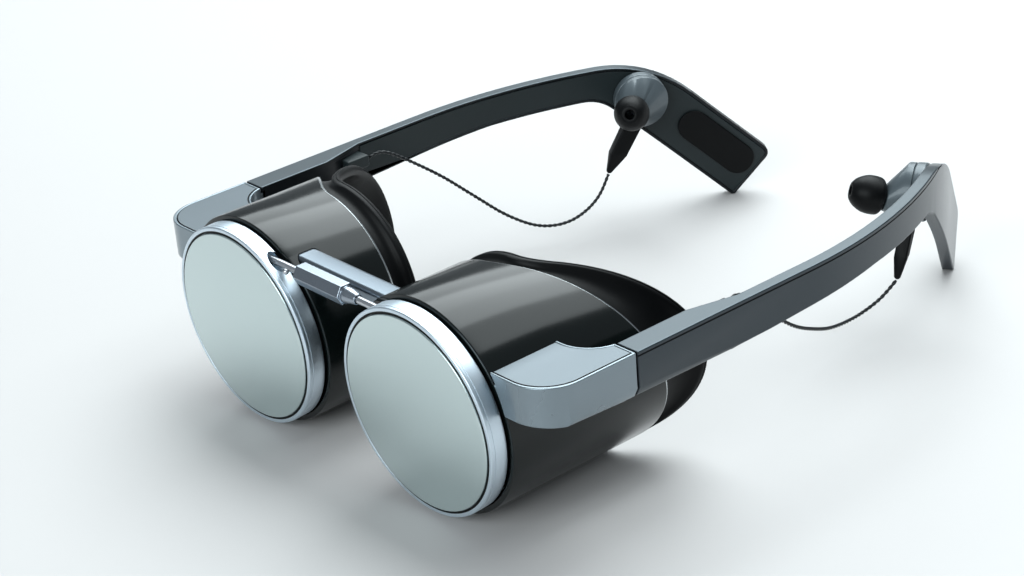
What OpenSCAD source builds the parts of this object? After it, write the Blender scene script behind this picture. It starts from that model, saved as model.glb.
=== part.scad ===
// Smart glasses of the virtual-reality kind: two short optical barrels on a
// sliding bridge, hooked temples, and an earphone docked inside each temple.
// The glasses stand as they do on a table. X runs across the face, with the
// wearer's left at +X. The fronts face -Y and +Z is up. The origin is on the
// table, below the middle of the whole object.

/* [Barrels] */
// Distance between the two barrel axes
ipd = 66; // [62:1:72]
// Outside diameter of a barrel shell
barrel_d = 54.2; // [48:0.1:66]
// Wall of a barrel shell
barrel_wall = 1.3; // [1:0.1:1.8]
// Length of a barrel shell at its axis, from the front ring's face
barrel_len = 37; // [33:0.5:45]
// Length of a barrel shell on the nose side
nose_len = 27.5; // [25:0.5:30]
// Slant of the rear edge, further back toward the temple
rear_sweep = 28; // [20:1:32]
// Slant of the rear edge, further back toward the cheek
rear_rake = 16; // [8:1:18]
// Lean of the front rings, whose faces look slightly down
front_lean = 3; // [0:0.5:4]

/* [Front] */
// Step in radius from the barrel shell down to the front ring
ring_step = 1.3; // [1.2:0.1:2]
// Depth of the front ring that shows
ring_depth = 4.6; // [3.8:0.1:5]
// Dark gap between the front ring and the barrel shell
ring_gap = 0.6; // [0.3:0.1:1]
// Width of the lip round the front glass
lip_w = 1; // [0.6:0.1:2]
// Thickness of the front glass
glass_t = 1.4; // [1:0.1:1.6]

/* [Optics] */
// Diameter of the eyepiece lens
lens_d = 39; // [34:0.5:42]
// Thickness of the eyepiece lens at its middle
lens_t = 7; // [5:0.5:8]
// Side of the square display
display_w = 24; // [20:0.5:26]

/* [Eye cups] */
// How far the cup stands behind the shell on the nose side
cup_nose = 6.8; // [6:0.1:10]
// How far the cup stands behind the shell on the temple side
cup_reach = 14.6; // [10:0.1:16]
// Slant of the cup's rear edge, further back toward the temple
cup_sweep = 49; // [40:1:51]
// Slant of the cup's rear edge, further back toward the cheek
cup_rake = 6; // [2:1:10]
// Step in radius from the barrel shell down to the cup's rolled lip
lip_step = 0.2; // [0.1:0.1:0.8]
// Thickness of the rolled lip
lip_t = 2.6; // [2:0.1:4]
// Wall of the eye cup
cup_wall = 1.6; // [1.2:0.1:2.5]

/* [Bridge] */
// Depth of the bridge beam, front to back
beam_w = 6.4; // [5:0.1:7.6]
// Height of the bridge beam
beam_h = 4.6; // [4:0.1:5.4]
// Length of the bridge beam
beam_len = 51; // [48:0.5:56]
// Width of the adjuster nut across its flats
nut_flats = 4.8; // [4:0.1:5.2]
// Length of the adjuster nut's hexagon
nut_len = 17; // [14:0.5:18]
// Diameter of the adjuster rods
rod_d = 1.8; // [1.5:0.1:2.2]

/* [Arms] */
// Distance from the side of the barrel shell out to the arm's outer face
arm_standoff = 12.7; // [11:0.1:15]
// Height of the arm's top above the barrel axis
arm_rise = 16.5; // [14:0.5:18]
// Height of the arm
arm_h = 11.2; // [9.5:0.1:12.5]
// Distance of the hinge seam behind the front ring's face
seam_y = 31.5; // [29:0.5:34]
// Thickness of the arm at the hinge
neck_t = 6.6; // [5.6:0.1:7.5]
// Thickness of the arm behind the cord outlet
arm_t = 3.2; // [3.2:0.1:4.2]
// Radius of the end-piece's rounded front corner
corner_r = 10; // [6:0.5:12]
// Diameter of the hinge pin
pin_d = 1.2; // [1:0.1:1.4]

/* [Temples] */
// Length of the straight run behind the hinge, before the head's curve
straight_len = 56.5; // [50:0.5:70]
// Radius of the head's curve, seen from above
head_r = 136; // [115:1:165]
// Angle that the head's curve turns through
head_turn = 34; // [28:1:38]
// Distance from the corner where the tail turns down to the end of the head's curve
bend_back = 7.6; // [4:0.1:12]
// Slope of the tail
tail_slope = 43; // [38:1:48]
// Width of the tail
tail_w = 17; // [14.5:0.1:19]

/* [Earphones] */
// Diameter of the earphone's back
ear_d = 15; // [13:0.1:16]
// Diameter of the soft ear tip
tip_d = 10; // [8.5:0.1:12]
// Length of the soft ear tip
tip_len = 8.8; // [7:0.1:10]
// Diameter of the earphone cord
cord_d = 1; // [0.8:0.1:1.2]

/* [Hidden] */
$fn = 96;

far = 200;                                  // longer than anything cut by it
slide_gap = 0.2;                            // clearance of a sliding fit
pin_gap = 0.05;                             // clearance of a turning fit, in radius
seat_gap = 0.05;                            // clearance of a seated piece
seam = 0.4;                                 // gap of the hinge seam

shell_r = barrel_d / 2;
bore_r = shell_r - barrel_wall;             // inside of the shell
ring_r = shell_r - ring_step;
gasket_w = 0.5;
glass_r = ring_r - lip_w - gasket_w;
glass_proud = 0.3;                          // the glass stands out of the ring
ledge_w = 1.5;                              // step that the glass rests on
shell_front = ring_depth + ring_gap;
neck_in = 0.9;                              // the ring is this much slimmer behind its side
seal_in = 0.4;                              // how far the gap's seal goes into the shell
axis_z = shell_r;                           // the shells lie on the table

beam_y = 6.4;                               // front of the beam
beam_z = 0.833 * bore_r;                    // top of the beam above the barrel axis
beam_round = 1.4;
nut_y = 2.1;                                // axis of the adjuster
nut_z = beam_z - 0.3;
rod_end = ipd / 2 - 7;                      // outer end of an adjuster rod
spigot_back = 7;                            // back of the ring's spigot, in the ring's frame

tube_y = 15.6;                              // front of the lens tube
tube_wall = 1.6;
lens_y = 20;                                // front of the eyepiece lens
lens_edge = 2;                              // thickness of the lens at its rim

lip_r = shell_r - lip_step;
cup_y = barrel_len + shell_r * tan(rear_sweep) + cup_reach - shell_r * tan(cup_sweep);

arm_top = axis_z + arm_rise;
arm_bottom = arm_top - arm_h;
arm_x = ipd / 2 + shell_r + arm_standoff;   // outer face of the arm
neck_x = arm_x - neck_t;                    // inner face of the arm at the hinge
knuckle_r = 1.3;
hinge_x = neck_x + knuckle_r;
hinge_z0 = arm_bottom + 1.6;
knuckle_h = (arm_h - 3.2) / 3;
end_front = 4.2;                            // front of the end-piece
end_rise = 4;                               // slope of its underside, up toward the front
neck_y = seam_y - 4;                        // where that slope begins
cut_r = 9.2;                                // radius of the hollow inside its neck
plate_t = 0.9;                              // thickness of the end-piece's top plate
plate_in = 0.7;                             // the edge that is left round that plate
screw_d = 1.2;
screw_y = [11, 19];                         // the end-piece's two screws
screw_z = arm_rise - arm_h / 2 - 1;
bevel_in = 1.2;                             // chamfer along the arm's lower outer edge
bevel_up = 2.4;

curve_y = seam_y + straight_len;
arm_lift = 2.2;                             // the arm gets this much slimmer from below
lift_from = seam_y + 30;                    // where it begins to
lift_to = curve_y + 25;
// The tail is drawn in its own plane, with X along it from the end of the
// head's curve and Y up.
tail_run = [-sin(head_turn), cos(head_turn)];
curve_end = [on_arm(head_turn, 0)[0], on_arm(head_turn, 0)[1]];
tail_k = tan(tail_slope);
foot_x = arm_top / tail_k - tail_w / sin(tail_slope) - bend_back;  // lower edge meets the table
foot_w = 1;                                 // flat that the tail stands on
tail_up = heading(90 - tail_slope);         // square to the tail's upper edge
tail_out = heading(-tail_slope);            // square to its end
tip_r = 2.5;
tip = [foot_x + foot_w, 0] + (tail_w - foot_w * sin(tail_slope)) * tail_up;
tip_mid = tip - tip_r * (tail_up + tail_out);
cover_t = 1;
rim = 0.9;                                  // metal edge that shows round the inner cover
channel = 1;                                // depth of the wires' channel behind the cover
socket_t = 2.2;                             // signal socket in the left tail's end
socket_w = 6;
socket_len = 8;
board_t = 0.6;                              // driver board in the left tail
board_l = 15;

// The middle of the object, front to back.
front_y = -glass_proud * cos(front_lean) - glass_r * sin(front_lean);
rear_y = curve_end[1] + (tip_mid[0] + tip_r) * tail_run[1];
mid_y = (front_y + rear_y) / 2;

ear_turn = 29;                              // heading of the arm where the earphone docks
ear_z = arm_top - 9.6;
ear_at = on_arm(ear_turn, arm_t);
dock_r = ear_d / 2 - 3.1;
ear_back = 0.5;                             // the earphone's back stands off its dock
back_t = 3;
tip_dir = [-0.62, -0.72, 0.3];
tip_at = ear_at + [-7.3, -9, ear_z - 0.3];
stem_foot = [53, 139.9, 15.3];
stem_end = 0.9;                             // radius of the stem's lower end
gland_y = 53;                               // where the arm's inner swelling begins to end
gland_end = 66;
gland_len = 6.9;

function heading(a) = [cos(a), sin(a)];
// A point at a given depth inside the arm's outer face, along the head's curve.
function on_arm(turn, depth) = [
    arm_x - head_r + (head_r - depth) * cos(turn),
    curve_y + (head_r - depth) * sin(turn),
    0
];
// The line of the arm seen from above, at a given depth inside its outer face.
function arm_line(depth, length) = concat(
    [for (turn = [0 : 2 : head_turn]) [on_arm(turn, depth)[0], on_arm(turn, depth)[1]]],
    [[on_arm(head_turn, depth)[0], on_arm(head_turn, depth)[1]] + length * tail_run]
);
// How far along the tail a point lies, in the tail's own plane.
function along_tail(p) = (p - curve_end) * tail_run;
function reversed(list) = [for (i = [len(list) - 1 : -1 : 0]) list[i]];

// Cords, from the gland in the temple to the stem of the earphone.
left_cord_path = [
    [66.5, 66.2, 40], [65.5, 69, 40.6], [65, 73, 39], [64, 79, 33.5], [62.5, 86, 27.5],
    [61, 94, 21.5], [58.5, 103, 16.5], [55.5, 112, 12.3], [53, 121, 9.8],
    [51.5, 129, 9], [52, 135, 10.8], [53, 139.4, 14.2]
];
right_cord_path = [
    [-66.5, 66.2, 40], [-65.5, 69, 41], [-65, 73, 39.6], [-64, 80, 34.6], [-62.5, 88, 28.2],
    [-60.5, 97, 19.8], [-58, 105, 12.4], [-55, 113, 7.2], [-52, 120, 6],
    [-51, 127, 7], [-51.7, 134, 9.6], [-53, 139.4, 14.2]
];

// ---- placing -------------------------------------------------------------

// The pieces are drawn for the left side, with Y from the plane of the front
// rings. This puts them in the middle, and mirrors them for the right side.
module side(s) {
    translate([0, -mid_y, 0]) mirror([s > 0 ? 0 : 1, 0, 0]) children();
}
// The frame of the optics, at the height of the barrels' axes. X is measured
// from a given place across the face.
module optics(x) {
    translate([x, 0, axis_z]) children();
}
// The frame of a barrel, whose +X points outward, to the temple.
module on_barrel(s) {
    side(s) optics(ipd / 2) children();
}
module on_bridge(s = 1) {
    side(s) optics(0) children();
}
// The front rings lean, and so do the glass in them and the shell's front edge.
module leaning() {
    rotate([front_lean, 0, 0]) children();
}
module rod_y(r, y0, y1) {
    translate([0, y0, 0]) rotate([-90, 0, 0]) cylinder(r = r, h = y1 - y0);
}
module ring_y(r_out, r_in, y0, y1) {
    difference() {
        rod_y(r_out, y0, y1);
        rod_y(r_in, y0 - 1, y1 + 1);
    }
}
module rod_x(r, x0, x1) {
    translate([x0, 0, 0]) rotate([0, 90, 0]) cylinder(r = r, h = x1 - x0);
}
// A block with its four long edges rounded, lying along X.
module rounded_bar(x0, x1, w, h, r) {
    translate([x0, 0, 0]) rotate([90, 0, 90]) linear_extrude(x1 - x0) {
        translate([r, 0]) square([w - 2 * r, h]);
        translate([0, r]) square([w, h - 2 * r]);
        for (y = [r, w - r], z = [r, h - r]) translate([y, z]) circle(r);
    }
}
// Everything in front of an edge that is square on the nose side, and slants
// back toward the temple and the cheek.
module before_edge(slant_y, sweep, rake, nose_y) {
    translate([0, slant_y, 0]) rotate([rake, 0, sweep])
        translate([-far / 2, -far, -far / 2]) cube([far, far, far]);
    translate([-far / 2, nose_y - far, -far / 2]) cube([far, far, far]);
}
module before_shell_edge(back) {
    before_edge(barrel_len + back, rear_sweep, rear_rake, nose_len + back);
}
module before_cup_edge(back) {
    before_edge(cup_y + back, cup_sweep, cup_rake, nose_len + cup_nose + back);
}

// ---- bridge --------------------------------------------------------------

module bridge_beam() {
    color([0.78, 0.82, 0.86]) on_bridge() translate([0, beam_y, beam_z - beam_h])
        rounded_bar(-beam_len / 2, beam_len / 2, beam_w, beam_h, beam_round);
}

module adjuster_nut() {
    shoulder = 1.2;
    cone = 3.2;
    shoulder_r = 0.4 * nut_flats;
    color([0.86, 0.89, 0.92]) on_bridge() translate([0, nut_y, nut_z]) difference() {
        union() {
            translate([-nut_len / 2, 0, 0]) rotate([0, 90, 0]) rotate([0, 0, 30])
                cylinder(r = nut_flats / 2 / cos(30), h = nut_len, $fn = 6);
            rod_x(shoulder_r, 0, nut_len / 2 + shoulder);
            translate([nut_len / 2 + shoulder, 0, 0]) rotate([0, 90, 0])
                cylinder(r1 = shoulder_r, r2 = rod_d / 2 + 0.4, h = cone);
        }
        rod_x(rod_d / 2 + pin_gap, -nut_len, nut_len);
    }
}

// A rod that the nut draws in or lets out, fixed in its barrel. The right one
// carries a small stop ball.
module adjuster_rod(s) {
    start = 4;
    color([0.7, 0.74, 0.78]) on_bridge(s) translate([0, nut_y, nut_z]) {
        rod_x(rod_d / 2, start, rod_end);
        if (s < 0) translate([nut_len / 2 + 4.8, -1.1, -0.7]) sphere(r = 0.75, $fn = 32);
    }
}

// ---- barrels -------------------------------------------------------------

module front_glass(s) {
    color([0.62, 0.68, 0.67]) on_barrel(s) leaning() {
        rod_y(glass_r - seat_gap, 0, glass_t - glass_proud);
        rotate([90, 0, 0]) cylinder(r1 = glass_r - seat_gap, r2 = glass_r - 0.35, h = glass_proud);
    }
}

module glass_gasket(s) {
    color([0.04, 0.04, 0.05]) on_barrel(s) leaning()
        ring_y(glass_r + gasket_w, glass_r, 0.15, glass_t - glass_proud);
}

module front_ring(s) {
    glass_back = glass_t - glass_proud;
    bevel = 0.5;
    color([0.68, 0.72, 0.76]) on_barrel(s) difference() {
        union() {
            leaning() {
                rod_y(ring_r, bevel, ring_depth);
                translate([0, bevel, 0]) rotate([90, 0, 0])
                    cylinder(r1 = ring_r, r2 = ring_r - bevel, h = bevel);
                rod_y(ring_r - neck_in, ring_depth, shell_front + seal_in);
            }
            // spigot that fits the shell's bore
            intersection() {
                rod_y(bore_r - seat_gap, 0, far);
                leaning() rod_y(far / 2, shell_front + seal_in, spigot_back);
            }
        }
        leaning() {
            rod_y(glass_r + gasket_w, -1, glass_back);
            rod_y(glass_r - ledge_w, 0, far);
        }
        // hole of the adjuster rod, wider toward the nose
        translate([-ipd / 2, nut_y, nut_z]) {
            rod_x(rod_d / 2 + 0.9, 0, rod_end - 4.5);
            rod_x(rod_d / 2, 0, rod_end);
        }
    }
}

module gap_seal(s) {
    color([0.03, 0.03, 0.03]) on_barrel(s) leaning()
        ring_y(ring_r - 0.5, ring_r - neck_in, ring_depth, shell_front + seal_in);
}

module barrel_shell(s) {
    color([0.3, 0.33, 0.33]) on_barrel(s) difference() {
        intersection() {
            rod_y(shell_r, 0, far / 2);
            leaning() translate([-far / 2, shell_front, -far / 2]) cube([far, far, far]);
            before_shell_edge(0);
        }
        rod_y(bore_r, 0, far);
        // slot that the bridge beam slides in
        translate([-ipd / 2, beam_y - slide_gap, beam_z - beam_h - slide_gap])
            rounded_bar(0, ipd / 2, beam_w + 2 * slide_gap, beam_h + 2 * slide_gap, beam_round + slide_gap);
        // holes for the two screws of the end-piece
        for (y = screw_y) translate([0, y, screw_z]) rod_x(screw_d / 2 + slide_gap, 0, far);
    }
}

// Guide of the bridge beam inside the shell, open toward the front ring.
module bridge_guide(s) {
    wall = 1.2;
    guide_y = beam_y + beam_round + slide_gap;
    color([0.12, 0.12, 0.13]) on_barrel(s) difference() {
        intersection() {
            rod_y(bore_r - seat_gap, 0, far);
            translate([-ipd / 2 + 13, guide_y, beam_z - beam_h - slide_gap - wall])
                cube([15, beam_y + beam_w + slide_gap + wall - guide_y, beam_h + 2 * slide_gap + 2 * wall]);
        }
        translate([-ipd / 2, beam_y - slide_gap, beam_z - beam_h - slide_gap])
            rounded_bar(0, ipd, beam_w + 2 * slide_gap, beam_h + 2 * slide_gap, beam_round + slide_gap);
    }
}

module lens_tube(s) {
    seat_r = lens_d / 2;
    color([0.06, 0.06, 0.07]) on_barrel(s) difference() {
        union() {
            rod_y(bore_r - seat_gap, tube_y, tube_y + 2);
            rod_y(seat_r + tube_wall, tube_y, nose_len - 1);
        }
        rod_y(seat_r, lens_y, far);
        rod_y(seat_r - 1.2, tube_y + 2, far);
        translate([-display_w / 2, 0, -display_w / 2]) cube([display_w, lens_y, display_w]);
    }
}

module display_board(s) {
    w = display_w + 4;
    board_t = 1.2;
    color([0.05, 0.25, 0.16]) on_barrel(s)
        translate([-w / 2, tube_y - board_t, -display_w / 2]) cube([w, board_t, display_w]);
}

module display_panel(s) {
    w = display_w - 2 * seat_gap;
    color([0.02, 0.02, 0.03]) on_barrel(s)
        translate([-w / 2, tube_y, -w / 2]) cube([w, 1.6, w]);
}

module eyepiece_lens(s) {
    bulge = lens_t - lens_edge;
    half = lens_d / 2 - seat_gap;
    ball = (half * half + bulge * bulge) / (2 * bulge);
    color([0.75, 0.82, 0.85]) on_barrel(s) {
        rod_y(half, lens_y, lens_y + lens_edge);
        intersection() {
            rod_y(half, lens_y + lens_edge, lens_y + lens_t + 1);
            translate([0, lens_y + lens_t - ball, 0]) sphere(r = ball, $fn = 128);
        }
    }
}

module eye_cup(s) {
    wall_r = bore_r - seat_gap;
    inserted = 4;                           // how far the cup goes into the shell
    color([0.05, 0.05, 0.05]) on_barrel(s) difference() {
        intersection() {
            union() {
                rod_y(wall_r, 0, far / 2);
                difference() {
                    rod_y(lip_r, 0, far / 2);
                    before_cup_edge(-lip_t);
                    before_shell_edge(seat_gap);
                }
            }
            before_cup_edge(0);
        }
        rod_y(wall_r - cup_wall, 0, far);
        before_shell_edge(-inserted);
    }
}

// ---- end-pieces and hinges -------------------------------------------------

// The end-piece seen from above, from the barrel's axis out to the arm.
module end_outline(inset) {
    front = end_front + inset;
    back = seam_y - seam / 2 - inset;
    out = arm_x - inset;
    difference() {
        union() {
            translate([ipd / 2, front]) square([out - corner_r - ipd / 2, back - front]);
            translate([out - corner_r - 1, front + corner_r]) square([corner_r + 1, back - front - corner_r]);
            translate([out - corner_r, front + corner_r]) circle(corner_r);
        }
        // hollow toward the temple, which leaves the neck of the hinge
        translate([neck_x - cut_r, seam_y + 1.7]) circle(cut_r + inset);
        translate([0, seam_y + 1.7 - cut_r - inset]) square([neck_x - cut_r, 2 * cut_r]);
    }
}
// Wedge that is cut off along the lower outer edge of an arm, ending at y.
module lower_bevel(y, length) {
    translate([arm_x, y, arm_bottom]) rotate([90, 0, 0]) linear_extrude(length)
        polygon([[-bevel_in, 0], [0, bevel_up], [1, bevel_up], [1, -1], [-bevel_in, -1]]);
}

module end_piece(s) {
    color([0.6, 0.65, 0.69]) side(s) difference() {
        union() {
            translate([0, 0, arm_bottom]) linear_extrude(arm_h) end_outline(0);
            for (i = [0, 2]) knuckle(i);
        }
        // the underside rises toward the front
        translate([0, neck_y, arm_bottom]) rotate([-end_rise, 0, 0]) translate([0, -far, -far])
            cube([far, far, far]);
        lower_bevel(seam_y, seam_y - end_front);
        // seat against the barrel shell, with a groove along the top
        optics(ipd / 2) {
            rod_y(shell_r, -5, far);
            intersection() {
                rod_y(shell_r + 0.6, -5, far);
                translate([0, -5, arm_rise - 2.6]) cube([far, far, 6]);
            }
            for (y = screw_y) translate([0, y, screw_z]) rod_x(screw_d / 2, 0, shell_r + 5.4);
        }
        // pocket of the top plate
        translate([0, 0, arm_top - plate_t]) linear_extrude(2 * plate_t) end_outline(plate_in);
        knuckle_room(1);
        translate([hinge_x, seam_y, hinge_z0 - 1]) cylinder(r = pin_d / 2, h = 3 * knuckle_h + 1.2);
    }
}

// One of the hinge's three knuckles, and the room that it turns in.
module knuckle(i) {
    translate([hinge_x, seam_y, hinge_z0 + i * knuckle_h + 0.05])
        cylinder(r = knuckle_r, h = knuckle_h - 0.1);
}
module knuckle_room(i) {
    translate([hinge_x, seam_y, hinge_z0 + i * knuckle_h - 0.15])
        cylinder(r = knuckle_r + 0.25, h = knuckle_h + 0.3);
}

module end_plate(s) {
    color([0.66, 0.71, 0.75]) side(s) difference() {
        translate([0, 0, arm_top - plate_t]) linear_extrude(plate_t) end_outline(plate_in + seat_gap);
        optics(ipd / 2) rod_y(shell_r + 0.9, -5, far);
    }
}

module end_screws(s) {
    head_r = 1.3;
    x0 = sqrt(bore_r * bore_r - pow(screw_z + head_r, 2));
    color([0.55, 0.56, 0.58]) on_barrel(s) for (y = screw_y) translate([0, y, screw_z]) {
        rod_x(screw_d / 2, x0 - 0.5, shell_r + 5.2);
        rod_x(head_r, x0 - 0.8, x0);
    }
}

module hinge_pin(s) {
    color([0.75, 0.76, 0.78]) side(s) translate([hinge_x, seam_y, hinge_z0 - 0.9])
        cylinder(r = pin_d / 2, h = 3 * knuckle_h + 1);
}

// ---- temples ---------------------------------------------------------------

// The temple seen from above, between two depths inside its outer face.
module arm_plan(d0, d1, front) {
    tail = far / 4;
    polygon(concat(
        [[arm_x - d0, front]],
        arm_line(d0, tail),
        reversed(arm_line(d1, tail)),
        [[arm_x - d1, front]]
    ));
}
// The temple seen from the side, in the tail's plane, drawn in by an inset.
module arm_profile(inset) {
    fold = 40;                              // radius of the top's fold into the tail
    ankle = 12;                             // radius of the fold below it
    low = arm_bottom + arm_lift;
    lift_x = foot_x - low / tail_k;
    offset(delta = -inset) polygon(concat(
        [[-far, arm_bottom], [-far, arm_top]],
        [for (i = [0 : 10]) let (a = i / 10 * tail_slope)
            [-bend_back - fold * tan(tail_slope / 2) + fold * sin(a), arm_top - fold * (1 - cos(a))]],
        [for (a = [90 - tail_slope : -15 : -tail_slope]) tip_mid + tip_r * heading(a)],
        [[foot_x + foot_w, 0], [foot_x, 0]],
        [for (i = [6 : -1 : 0]) let (a = i / 6 * tail_slope)
            [lift_x - ankle * tan(tail_slope / 2) + ankle * sin(a), low - ankle * (1 - cos(a))]],
        [[along_tail([arm_x, lift_to]), low], [along_tail([arm_x, lift_from]), arm_bottom]]
    ));
}
module arm_band(d0, d1, inset, front) {
    intersection() {
        linear_extrude(arm_top + 1) arm_plan(d0, d1, front);
        translate([curve_end[0], curve_end[1], 0]) rotate([0, 0, head_turn]) rotate([90, 0, 90])
            linear_extrude(far, center = true) arm_profile(inset);
    }
}

module temple_shell(s) {
    front = seam_y + seam / 2;
    swell = neck_t - arm_t;
    color([0.36, 0.41, 0.45]) side(s) difference() {
        union() {
            arm_band(0, arm_t, 0, front);
            // swelling on the inner side that ends at the cord outlet
            translate([0, 0, arm_bottom]) linear_extrude(arm_h)
                polygon([[arm_x - 1, front], [neck_x, front], [neck_x, gland_y], [neck_x + swell, gland_end],
                         [arm_x - 1, gland_end]]);
            knuckle(1);
        }
        // it runs out to nothing where the head's curve begins
        translate([arm_x, seam_y, 0]) rotate([0, 0, -atan(bevel_in / straight_len)])
            translate([-arm_x, -seam_y, 0]) lower_bevel(curve_y, straight_len + 1);
        // pocket of the inner cover, and the channel for the wires behind it
        arm_band(arm_t - cover_t, arm_t + 5, rim, gland_end + 0.3);
        arm_band(arm_t - cover_t - channel, arm_t, rim + 1.6, front + 2.2);
        for (i = [0, 2]) knuckle_room(i);
        translate([hinge_x, seam_y, hinge_z0 - 1.2])
            cylinder(r = pin_d / 2 + pin_gap, h = 3 * knuckle_h + 1.6);
        gland_block(seat_gap, 2);
        if (s > 0) socket_room();
    }
}

module temple_cover(s) {
    color([0.05, 0.055, 0.06]) side(s) difference() {
        arm_band(arm_t - cover_t + seat_gap, arm_t, rim + seat_gap, gland_end + 0.4);
        dock_disc(seat_gap, 2);
        if (s > 0) socket_room();
    }
}

// Frame of the earphone's dock: X along the arm, Y up, Z out of the inner face.
module on_dock() {
    translate([ear_at[0], ear_at[1], ear_z]) rotate([0, 0, ear_turn]) rotate([90, 0, -90]) children();
}
module dock_disc(gap, over) {
    on_dock() translate([0, 0, -cover_t]) cylinder(r = dock_r + gap, h = cover_t + 0.1 + over);
}

// Magnetic seat of the earphone, let into the inner cover.
module earphone_dock(s) {
    color([0.1, 0.1, 0.11]) side(s) dock_disc(0, 0);
}

// Soft pad inside the tail.
module tip_pad(s) {
    run = 17;
    half = 4.6;
    color([0.12, 0.12, 0.13]) side(s) translate(in_tail(arm_t + seat_gap, foot_x - 4, 17))
        rotate([0, 0, head_turn]) rotate([90, 0, -90]) rotate([0, 0, tail_slope]) linear_extrude(0.7) {
            translate([-run / 2, -half]) square([run, 2 * half]);
            for (x = [-run / 2, run / 2]) translate([x, 0]) circle(half);
        }
}

// Block that the cord comes out of, where the swelling of the arm ends.
module gland_block(gap, over) {
    translate([neck_x - 0.9 - over, gland_end - gland_len - gap, arm_top - 5.3 - gap])
        cube([neck_t - arm_t + 2 + over + gap, gland_len + gap + over, 3.2 + 2 * gap]);
}
module cord_gland(s) {
    color([0.07, 0.07, 0.075]) side(s) gland_block(0, 0);
}

// ---- cords -----------------------------------------------------------------

function unit(v) = v / norm(v);
// A point on the smooth curve through the route's points.
function smooth(p, i, t) =
    let (a = p[max(i - 1, 0)], b = p[i], c = p[i + 1], d = p[min(i + 2, len(p) - 1)])
    0.5 * (2 * b + (c - a) * t + (2 * a - 5 * b + 4 * c - d) * t * t + (3 * b - a - 3 * c + d) * t * t * t);
module cord_tube(path) {
    per = 4;
    sides = 8;
    line = concat([for (i = [0 : len(path) - 2], j = [0 : per - 1]) smooth(path, i, j / per)],
                  [path[len(path) - 1]]);
    last = len(line) - 1;
    rings = [for (i = [0 : last]) let (
        along = unit(line[min(i + 1, last)] - line[max(i - 1, 0)]),
        across = unit(cross(along, [0.1, 0.2, 1])),
        up = cross(across, along)
    ) for (k = [0 : sides - 1]) line[i] + cord_d / 2 * (cos(k * 45) * across + sin(k * 45) * up)];
    sheet = [for (i = [0 : last - 1], k = [0 : sides - 1])
        let (a = i * sides + k, b = i * sides + (k + 1) % sides) [a, b, b + sides, a + sides]];
    polyhedron(rings, concat(sheet, [[for (k = [sides - 1 : -1 : 0]) k]],
               [[for (k = [0 : sides - 1]) last * sides + k]]), convexity = 6);
}

module cord(path) {
    color([0.12, 0.13, 0.14]) side(1) cord_tube(path);
}

// ---- earphones -------------------------------------------------------------

module earphone_back(s) {
    color([0.45, 0.49, 0.52]) side(s) on_dock() translate([0, 0, ear_back])
        cylinder(r = ear_d / 2, h = back_t);
}

module speaker(s) {
    color([0.5, 0.42, 0.25]) side(s) on_dock() translate([0, 0, ear_back + back_t + seat_gap])
        cylinder(r = ear_d / 2 - 2.5, h = 1.6);
}

module orient(d) {
    rotate([0, acos(d[2] / norm(d)), atan2(d[1], d[0])]) children();
}
// The frame of the ear tip: its Z runs out along the sound tube.
module on_tip() {
    translate(tip_at) orient(tip_dir) children();
}
module earphone_cone(grow) {
    hull() {
        on_dock() translate([0, 0, ear_back + back_t])
            cylinder(r = ear_d / 2 - 0.1 + grow, h = 1.8, $fn = 32);
        on_tip() translate([0, 0, -3]) cylinder(r = 3.4 + grow, h = 3, $fn = 32);
    }
}
module earphone_housing(s) {
    color([0.42, 0.46, 0.49]) side(s) difference() {
        union() {
            earphone_cone(0);
            on_tip() translate([0, 0, -0.5]) cylinder(r = 2.3, h = 4);
        }
        on_dock() translate([0, 0, ear_back + back_t - 0.1])
            cylinder(r = ear_d / 2 - 2.4, h = 1.85);
        on_tip() translate([0, 0, -4]) cylinder(r = 1.3, h = 9);
    }
}

module ear_tip(s) {
    tip_rad = tip_d / 2;
    color([0.04, 0.04, 0.04]) side(s) on_tip() difference() {
        rotate_extrude() polygon([
            [0, 0.2], [3.4, 0.2], [tip_rad - 0.6, 0.9], [tip_rad, 2.6], [tip_rad, 4.2], [tip_rad - 0.8, 6.6],
            [tip_rad - 2, tip_len - 0.6], [tip_rad - 2.6, tip_len], [0, tip_len]
        ]);
        translate([0, 0, -1]) cylinder(r = 2.35, h = 4.8);
        translate([0, 0, 3]) cylinder(r = 1.3, h = tip_len);
    }
}

// Flat strain relief below the earphone, where its cord goes in.
module cord_stem(s) {
    head = ear_at + [-2.4, -5, ear_z - 6.4];
    waist = head + 0.62 * (stem_foot - head);
    color([0.06, 0.06, 0.07]) side(s) difference() {
        union() {
            hull() {
                stem_slice(head, 3.4, 5);
                stem_slice(waist, 3.2, 4.6);
            }
            hull() {
                stem_slice(waist, 3.2, 4.6);
                translate(stem_foot) sphere(r = stem_end, $fn = 16);
            }
        }
        on_dock() translate([0, 0, ear_back - 1]) cylinder(r = ear_d / 2 + 0.02, h = back_t + 1.05);
        earphone_cone(0.02);
    }
}
module stem_slice(at, thick, wide) {
    translate(at) rotate([0, 0, ear_turn]) cube([thick, wide, 1], center = true);
}

// ---- connection ------------------------------------------------------------

// A point at a given depth inside the tail's outer face, a given way along it.
function in_tail(depth, along, z) =
    on_arm(head_turn, depth) + [along * tail_run[0], along * tail_run[1], z];
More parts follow.
